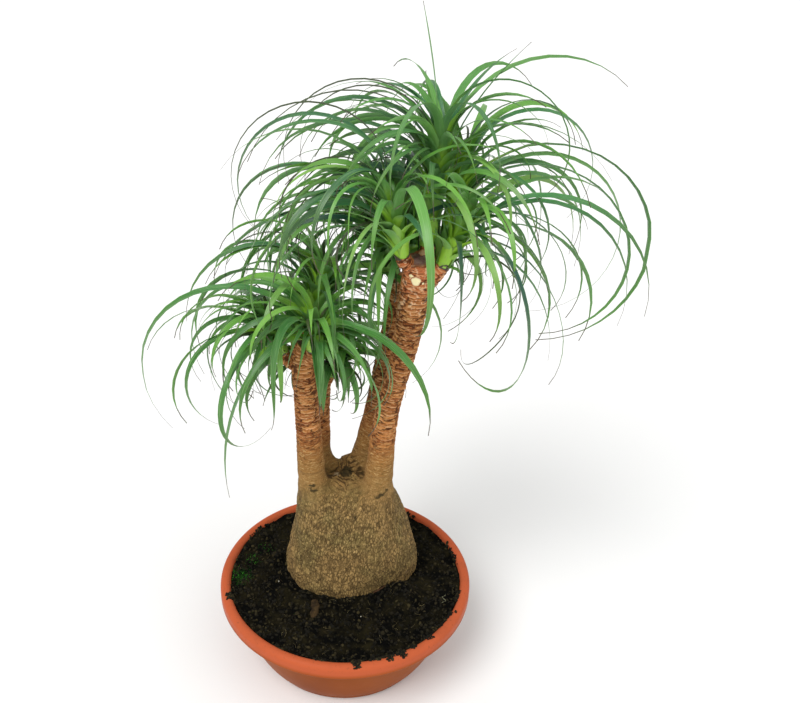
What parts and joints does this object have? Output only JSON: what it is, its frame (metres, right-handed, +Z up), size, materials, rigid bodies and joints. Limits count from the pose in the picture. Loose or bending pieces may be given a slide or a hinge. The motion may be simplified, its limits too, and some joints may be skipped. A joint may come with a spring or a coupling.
{
  "type": "potted ponytail palm",
  "caption": "Ponytail palm with a swollen bark foot and cut-back stems, arching strap leaves, in a terracotta-coloured bowl of soil.",
  "frame": {"origin": "centre of the bowl's underside, on the surface it stands on", "axes": "+Z up; -Y towards the viewer of the reference picture, +X to that viewer's right"},
  "size_m": [0.5731, 0.4052, 0.8436],
  "materials": {
    "pot_plastic": "satin",
    "peat": "matte",
    "bark": "matte",
    "leaf": "satin"
  },
  "bodies": {
    "root": {"pot": "pot_plastic", "soil": "peat", "trunk": "bark", "shoot_right_left": "leaf", "shoot_right_side": "leaf", "shoot_right_top": "leaf", "shoot_right_rear": "leaf", "shoot_behind_left": "leaf", "shoot_behind_right": "leaf", "shoot_left_front": "leaf", "shoot_left_side": "leaf", "shoot_left_top": "leaf", "shoot_low_right": "leaf", "shoot_low_left": "leaf"}
  },
  "joints": []
}
